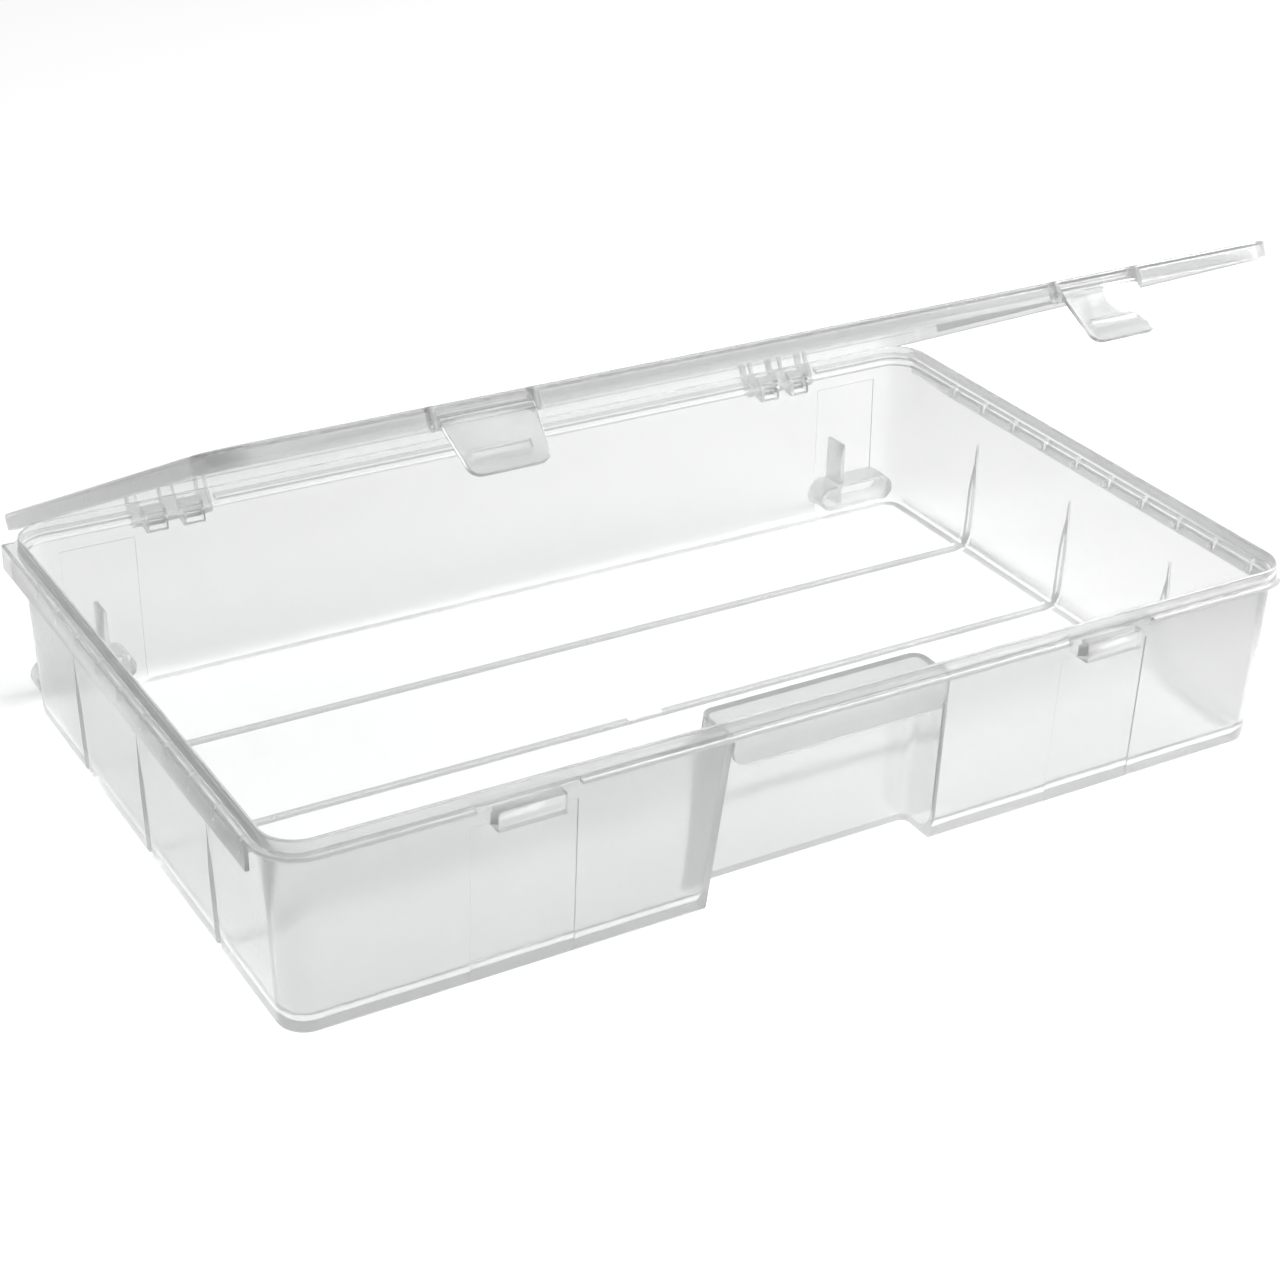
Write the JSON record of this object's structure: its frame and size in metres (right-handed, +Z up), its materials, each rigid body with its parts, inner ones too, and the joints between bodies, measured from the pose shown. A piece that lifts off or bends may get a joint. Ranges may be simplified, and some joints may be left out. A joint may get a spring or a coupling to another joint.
{
  "type": "fishing tackle box",
  "caption": "Clear plastic tackle box with a hinged lid, two snap latches and a front pull handle.",
  "frame": {"origin": "middle of the tray's floor, on its flat underside", "axes": "+Z up, +X to the right seen from the handle side, -Y towards the handle side"},
  "size_m": [0.3658, 0.2334, 0.1716],
  "materials": {
    "tray_plastic": "clear, lightly frosted",
    "lid_plastic": "clear, lightly frosted",
    "latch_plastic": "clear, lightly frosted"
  },
  "bodies": {
    "tray": {"tray": "tray_plastic"},
    "lid": {"lid": "lid_plastic"},
    "latch_left": {"latch_left": "latch_plastic"},
    "latch_right": {"latch_right": "latch_plastic"}
  },
  "joints": [
    {"name": "lid_hinge", "type": "hinge", "parent": "tray", "child": "lid", "pos_m": [0, 0.113, 0.0577], "axis": [-1, 0, 0], "range_deg": [-27.4, 153]},
    {"name": "latch_left_hinge", "type": "hinge", "parent": "lid", "child": "latch_left", "pos_m": [-0.1035, -0.08531, 0.16631], "axis": [-1, 0, 0], "range_deg": [-28, 92]},
    {"name": "latch_right_hinge", "type": "hinge", "parent": "lid", "child": "latch_right", "pos_m": [0.1035, -0.08531, 0.16631], "axis": [-1, 0, 0], "range_deg": [-28, 92]}
  ]
}
